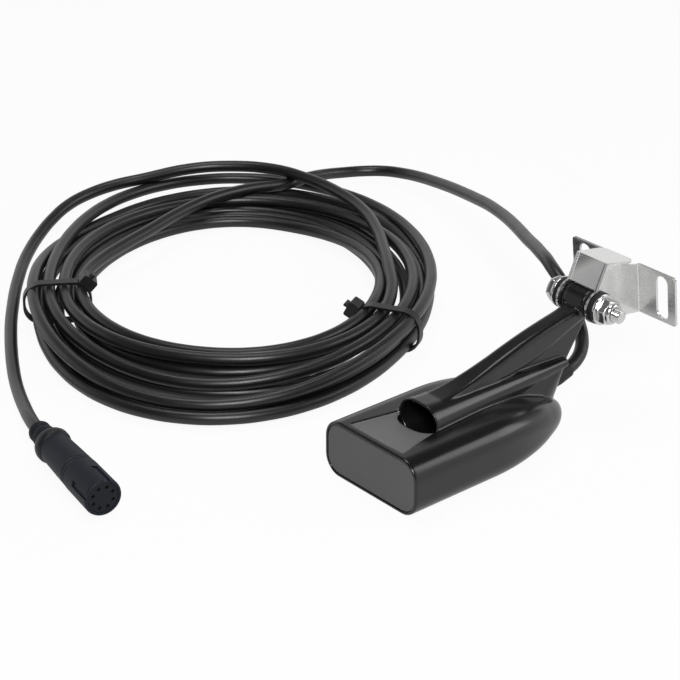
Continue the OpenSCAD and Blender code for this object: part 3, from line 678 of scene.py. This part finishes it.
housing = loft("housing_moulding", [tail_ring(pi / 2 * s) for s in shares(5)]
               + [nose_ring(NOSE_SWEEP * s) for s in shares(56)])
print("body:", len(housing.data.polygons), "faces, tail at", TAIL_X)

# %% [markdown]
# The arm has a bar that swings up from the conduit to the pivot, a conduit that narrows to a
# rib under it, a skirt that carries both into the body, a thin web between bar and rib, and
# the barrel that the bolt runs in. Distances along the body are measured from the tail.

# %% Rings of the bar, the conduit and the skirt
PIVOT = Vector(frame["joints"][0]["pos_m"]) / MM
PIVOT_L, PIVOT_H = PIVOT.x - TAIL_X, PIVOT.z
MOUTH_L, CONDUIT_Z, CONDUIT_W, CONDUIT_H, CONDUIT_WALL = 25.6, 24.8, 23.2, 17.2, 0.9
BAR_L, BAR_W, BAR_ROOT_W, BAR_DEPTH, BAR_BELLY = MOUTH_L + 5, 9.2, 12.6, 7, 5
BAR_ROOT_Z, BAR_TOP_Z = CONDUIT_Z + CONDUIT_H / 2 - CONDUIT_WALL, PIVOT_H + 1
SKIRT_W, SKIRT_BOW, FOOT_L, FOOT_Z, LEAN = 22, 24, 102.5, 15, tan(radians(30))
RIB_W, RIB_H, RIB_Z, RIB_BOW = 12, 4.6, 26.5, 6
RIB_END = FOOT_L + (RIB_Z - FOOT_Z) * LEAN


def bar_ring(s):
    depth = BAR_DEPTH + BAR_BELLY * sin(pi * s ** 1.5) ** 2
    width = BAR_W + (BAR_ROOT_W - BAR_W) * (1 - s) ** 4
    rise = s - 0.1 * (1 - s) * sin(2 * pi * s)
    mid = BAR_ROOT_Z + (BAR_TOP_Z - BAR_ROOT_Z) * rise - depth / 2
    x = TAIL_X + BAR_L + (PIVOT_L - BAR_L) * s
    return [(x, y, mid + z) for y, z in round_ring(width, depth, min(width, depth) * 0.27, 8)]


def conduit_ring(s):
    w, h = CONDUIT_W + (RIB_W - CONDUIT_W) * s, CONDUIT_H + (RIB_H - CONDUIT_H) * s
    x = TAIL_X + MOUTH_L + (RIB_END - RIB_BOW / 2 - MOUTH_L) * s
    return [(x, y, CONDUIT_Z + (RIB_Z - CONDUIT_Z) * s + z)
            for y, z in round_ring(w, h, h * 0.49, 16)]


def skirt_ring(z, width, bow):
    back = [(TAIL_X + MOUTH_L + CONDUIT_WALL, y, z) for y in (SKIRT_W / 2, -SKIRT_W / 2)]
    front = TAIL_X + FOOT_L + (z - FOOT_Z) * LEAN - bow
    return back + [(front + bow * cos(radians(a)), width / 2 * sin(radians(a)), z)
                   for a in range(-90, 91, 3)]


print("rib ends", round(RIB_END, 2), "mm from the tail, pivot at", [round(v, 2) for v in PIVOT])

# %% Arm, conduit, skirt, web and barrel
BORE_L, WEB_T, BARREL_R, BARREL_L = 22, 5, 6.5, 11


def angles(sides):
    """Angles of one full turn in equal steps."""
    return [2 * pi * j / sides for j in range(sides)]


def pivot_ring(y, radius, sides=96):
    """Ring about the pivot at y, with a radius that may change with the angle."""
    ring = []
    for a in angles(sides):
        r = radius(a) if callable(radius) else radius
        ring.append(PIVOT + Vector((r * cos(a), y, r * sin(a))))
    return ring


bar = loft("bar", [bar_ring(s) for s in shares(60)])
conduit = loft("conduit", [conduit_ring(s) for s in shares(8)])
skirt = loft("skirt", [skirt_ring(BODY_H / 2, SKIRT_W, SKIRT_BOW),
                       skirt_ring(RIB_Z, RIB_W - 1, RIB_BOW)])
web_side = [(MOUTH_L + BORE_L + 6, RIB_Z + 0.6), (PIVOT_L - 3, PIVOT_H - 1),
            (PIVOT_L + 1.5, PIVOT_H - BARREL_R + 1), (RIB_END - 0.4, RIB_Z + 0.6)]
web = loft("web", [[(TAIL_X + x, y, z) for x, z in web_side] for y in (-WEB_T / 2, WEB_T / 2)])
barrel = loft("barrel", [pivot_ring(y, BARREL_R, 60) for y in (-BARREL_L / 2, BARREL_L / 2)])
print("arm pieces:", [p.name for p in (bar, conduit, skirt, web, barrel)])

# %% [markdown]
# What is cut away: a shallow tray behind the tail rim, the oval well that ends it, the blind
# bore of the conduit, the pocket that holds the tail plate, and the bolt's hole.

# %% Cutters
TRAY_L, TRAY_W, TRAY_STEP, WELL_L = 3.4, 31, 0.8, 6
BORE_W, BORE_H, BORE_END = CONDUIT_W - 2 * CONDUIT_WALL, CONDUIT_H - 2 * CONDUIT_WALL, 0.45
RIM_W, POCKET_L, BOLT_HOLE_R = 1.3, 2.7, 3.06
ABOVE_CONDUIT, ABOVE_MOUTH, PAST_BARREL = 42, 34, 9
MOUTH_X = TAIL_X + MOUTH_L + 0.3


def upright(name, plan, low, high):
    """Prism over a plan of (x, y) points, from one height to another."""
    return loft(name, [[(x, y, z) for x, y in plan] for z in (low, high)])


tray_end = BORE_W / 2 + 0.4
tray = upright("tray", [(TAIL_X + TRAY_L, -TRAY_W / 2), (MOUTH_X, -tray_end), (MOUTH_X, tray_end),
                        (TAIL_X + TRAY_L, TRAY_W / 2)], BODY_H - TRAY_STEP, ABOVE_CONDUIT)
well = upright("well", [(MOUTH_X + WELL_L * cos(radians(a)), (BORE_W / 2 - 0.2) * sin(radians(a)))
                        for a in range(90, 271, 6)], CONDUIT_Z - BORE_H / 2, ABOVE_MOUTH)
bore = loft("bore", [[(TAIL_X + MOUTH_L + x, y, CONDUIT_Z + z)
                      for y, z in round_ring(BORE_W * k, BORE_H * k, BORE_H * k * 0.49, 16)]
                     for x, k in ((-0.5, 1), (BORE_L, BORE_END))])
rim = round_ring(BODY_W - 2 * RIM_W, BODY_H - 2 * RIM_W, CORNER - RIM_W, 16)
pocket = loft("pocket", [[(TAIL_X + x, y, BODY_H / 2 + z) for y, z in rim]
                         for x in (-1, POCKET_L)])
bolt_hole = loft("bolt_hole", [pivot_ring(y, BOLT_HOLE_R, 36) for y in (-PAST_BARREL, PAST_BARREL)])
print("cutters:", [p.name for p in (tray, well, bore, pocket, bolt_hole)])

# %% Join and cut the moulding


def settle(piece):
    """Replaces a piece's mesh by what its modifiers make of it."""
    graph = bpy.context.evaluated_depsgraph_get()
    settled = bpy.data.meshes.new_from_object(piece.evaluated_get(graph))
    piece.modifiers.clear()
    piece.data = settled
    return piece


def combine(piece, tool, how):
    step = piece.modifiers.new(how.lower(), "BOOLEAN")
    step.object, step.operation, step.solver = tool, how, "EXACT"
    settle(piece)
    bpy.data.objects.remove(tool)


for how, tools in (("UNION", (bar, conduit, skirt)), ("DIFFERENCE", (tray, well, bore)),
                   ("UNION", (web, barrel)), ("DIFFERENCE", (bolt_hole, pocket))):
    for tool in tools:
        combine(housing, tool, how)
print("joined housing:", len(housing.data.polygons), "faces")

# %% Fillet the moulding
ON_BRACKET = frame["record"]["behaviour"]["bodies"]["bracket"]


def stand_for(piece, node):
    """Puts a piece in the place of a CAD node, on the same body and in the same finish."""
    dress(piece.data, made_of[node])
    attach(piece, "bracket" if node in ON_BRACKET else "transducer")
    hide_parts(node)
    return piece


grid = housing.modifiers.new("grid", "REMESH")
grid.mode, grid.voxel_size, grid.use_smooth_shade = "VOXEL", 0.42 * MM, True
relax = housing.modifiers.new("relax", "SMOOTH")
relax.factor, relax.iterations = 0.5, 4
settle(housing)
shade_smooth(housing.data)
stand_for(housing, "housing")
print("moulded housing:", len(housing.data.polygons), "faces")

# %% [markdown]
# ## Eased edges
#
# Sheet metal is tumbled and moulded rims are rounded, so no real edge is a knife edge, and the
# narrow band along it is what catches the light. The bands could be faked in the shader, but a
# welded copy of the CAD mesh with a Bevel modifier makes them real geometry.
# Weighted normals then keep the flat faces flat.

# %% Copies of nodes with eased edges


def soften(piece, width_mm, angle=40):
    """Rounds off the edges of a piece that are sharper than an angle."""
    piece.modifiers.new("join", "WELD").merge_threshold = 0.002 * MM
    band = piece.modifiers.new("band", "BEVEL")
    band.width, band.segments = width_mm * MM, 2
    band.limit_method, band.angle_limit = "ANGLE", radians(angle)
    shade_smooth(piece.data)
    flat = piece.modifiers.new("flat", "WEIGHTED_NORMAL")
    flat.weight, flat.keep_sharp = 100, False
    return settle(piece)


def eased(node, width_mm):
    """Copy of a CAD node with bands along its edges, which stands for it."""
    mesh = frame["nodes"][node].data.copy()
    if "custom_normal" in mesh.attributes:
        mesh.attributes.remove(mesh.attributes["custom_normal"])
    return stand_for(soften(add(node + "_eased", mesh), width_mm), node)


bands = {"bracket": 0.3, "metal_washers": 0.3, "rubber_washers": 0.5, "tail_cap": 0.1,
         "cable_gland": 0.3, "cable_tie_left": 0.3, "cable_tie_right": 0.3, "plug_insert": 0.2}
softened = {node: eased(node, width) for node, width in bands.items()}
print({node: len(piece.data.polygons) for node, piece in softened.items()})

# %% [markdown]
# ## Bolt and nut
#
# Both are turned and stamped: the corners of the hexagons are cut off by a cone, the nut has a
# rounded collar for its locking ring, and a few turns of thread show past it. The ring about
# the pivot gives a circle, a hexagon inside a cone, or a thread, and a loft joins the rings.
# Where the stack of washers, nut and bolt ends is read from the frame.

# %% Hexagons, shank and thread
WASHER_OUT = box_mm("metal_washers")[1][1]
NUT_OUT, BOLT_OUT, HEAD_OUT = (-box_mm("lock_nut")[0][1], -box_mm("pivot_bolt")[0][1],
                               box_mm("pivot_bolt")[1][1])
HEX_AF, BOLT_R, PITCH, THREAD_DEPTH, DOME, IN_NUT = 10, 2.95, 0.9, 0.4, 0.9, 0.6
CHAMFER = [(0.15 * i, 4.8 + 0.26 * i) for i in range(5)]


def hexagon(cone, turn=0):
    """Radius of a hexagon whose corners a cone of that radius has cut off."""
    return lambda a: min(cone, HEX_AF / 2 / cos((a + turn) % (pi / 3) - pi / 6))


def thread(y, shrink):
    """Radius of a thread at y, a zigzag that winds round; shrink makes all of it smaller."""
    def radius(a):
        zigzag = abs(2 * ((y / PITCH + a / (2 * pi)) % 1) - 1)
        return (BOLT_R - THREAD_DEPTH * zigzag) * shrink
    return radius


def end_ring(share):
    """Ring of the bolt's threaded end, from inside the nut to the domed tip."""
    y = NUT_OUT - IN_NUT + (BOLT_OUT - NUT_OUT + IN_NUT) * share
    dome = max(0, (y - BOLT_OUT + DOME) / DOME)
    return pivot_ring(-y, thread(-y, 1 - 0.4 * dome ** 2))


head = [pivot_ring(HEAD_OUT - h, hexagon(c)) for h, c in CHAMFER]
head += [pivot_ring(WASHER_OUT, hexagon(CHAMFER[-1][1])), pivot_ring(WASHER_OUT, BOLT_R)]
bolt = loft("pivot_bolt_turned", head + [end_ring(s) for s in shares(60)])
for face in bolt.data.polygons:
    face.use_smooth = abs(face.normal.y) < 0.98
stand_for(bolt, "pivot_bolt")
print("bolt:", len(bolt.data.polygons), "faces")

# %% Lock nut
NUT_HEX, NUT_TURN = 4.2, 0.3
COLLAR = [(0, 4.55), (0.7, 4.5), (1.15, 4.35), (1.5, 4.05), (1.72, 3.65), (1.8, 3.2), (1.2, 2.9)]
collar_y = -WASHER_OUT - NUT_HEX
nut_rings = [pivot_ring(-WASHER_OUT - h, hexagon(c, NUT_TURN)) for h, c in CHAMFER]
nut_rings += [pivot_ring(collar_y + h, hexagon(c, NUT_TURN)) for h, c in CHAMFER[::-1]]
nut_rings += [pivot_ring(collar_y - h, r) for h, r in COLLAR]
nut = stand_for(loft("lock_nut_turned", nut_rings), "lock_nut")
for face in nut.data.polygons:
    face.use_smooth = abs(face.normal.y) > 0.2
print("nut:", len(nut.data.polygons), "faces")

# %% [markdown]
# ## The connector
#
# The connector is a stack of turned mouldings: a boot of two soft beads, a round collar, and a
# shell that widens to its mouth, with two fine grooves and two keyways. Each is one profile
# spun about the connector's axis, which is a loft over circles; the keyways are cut afterwards.

# %% Spin the connector's profiles
PLUG_AT, PLUG_TURN, PLUG_L = Vector((-152.4, 118.6, 8.5)), radians(260), 64.5
PLUG_ALONG = Vector((cos(PLUG_TURN), sin(PLUG_TURN), 0))
PLUG_SIDE = Vector((-sin(PLUG_TURN), cos(PLUG_TURN), 0))
UP = Vector((0, 0, 1))


def on_plug(along, radius, a):
    return PLUG_AT + PLUG_ALONG * along + (PLUG_SIDE * sin(a) - UP * cos(a)) * radius


def spun(name, profile):
    """Profile of (along, radius) points spun about the connector's axis."""
    return loft(name, [[on_plug(s, r, a) for a in angles(64)] for s, r in profile])


boot = spun("boot_beads", [(0, 3.3), (0.2, 3.9), (0.8, 4.5), (1.8, 4.85), (3, 4.85), (4, 4.5),
                           (4.5, 4.05), (5, 4.1), (5.5, 4.6), (6.4, 5.1), (7.6, 5.2), (8.8, 4.95),
                           (9.6, 4.7), (12, 4.7), (13.2, 5), (14, 5)])
ring = spun("collar_round", [(12.2, 4.2), (12.4, 5.6), (12.9, 6.7), (13.7, 7.45), (14.8, 7.8),
                             (16.6, 7.8), (17.6, 7.5), (18.3, 6.9), (18.5, 4.2)])
shell = spun("shell_turned", [(18, 4), (18, 6.7), (18.6, 6.9), (30, 7.3), (40.3, 7.62), (40.5, 7.3),
                              (41.1, 7.3), (41.3, 7.65), (42.3, 7.68), (42.5, 7.36), (43.1, 7.36),
                              (43.3, 7.8), (45, 7.86), (63.6, 8), (64.2, 7.8), (PLUG_L, 7.35),
                              (64.3, 6.72), (63.6, 6.6), (37.2, 6.6), (37, 4)])
print("connector is", PLUG_L, "mm long")

# %% Cut the keyways and seat the connector
KEY_TURNS, KEY_W, KEY_L, KEY_FLOOR, KEY_OUT = (164, 252), 2.6, 13, 7.2, 9
key_section = [(-KEY_W / 2, KEY_FLOOR), (KEY_W / 2, KEY_FLOOR), (KEY_W / 2, KEY_OUT),
               (-KEY_W / 2, KEY_OUT)]
for a in map(radians, KEY_TURNS):
    sideways = PLUG_SIDE * cos(a) + UP * sin(a)
    ends = [[on_plug(s, r, a) + sideways * w for w, r in key_section]
            for s in (PLUG_L - KEY_L, PLUG_L + 1)]
    combine(shell, loft("keyway", ends), "DIFFERENCE")
for node, piece, width in (("plug_boot", boot, 0.1), ("plug_ring", ring, 0.15),
                           ("plug_shell", shell, 0.12)):
    softened[node] = stand_for(soften(piece, width, 35), node)
print("connector:", [softened[n].name for n in ("plug_boot", "plug_ring", "plug_shell")])

# %% [markdown]
# ## The pieces on the cord
#
# A flexible cord is more than a shape: whoever lays it out again needs its length, its
# diameter, where it leaves the object and what is on it. The ties and the connector move with
# the cable, so they are listed here as the pieces on it.

on_cable = [softened[node] for node in ("cable_tie_left", "cable_tie_right", "plug_boot",
                                        "plug_ring", "plug_shell", "plug_insert")]
on_cable + ["plug_contacts"]
print("cord declared with", len(on_cable) + 1, "pieces on it")

# %% [markdown]
# ## End

# %% Finish
print("scene ready")
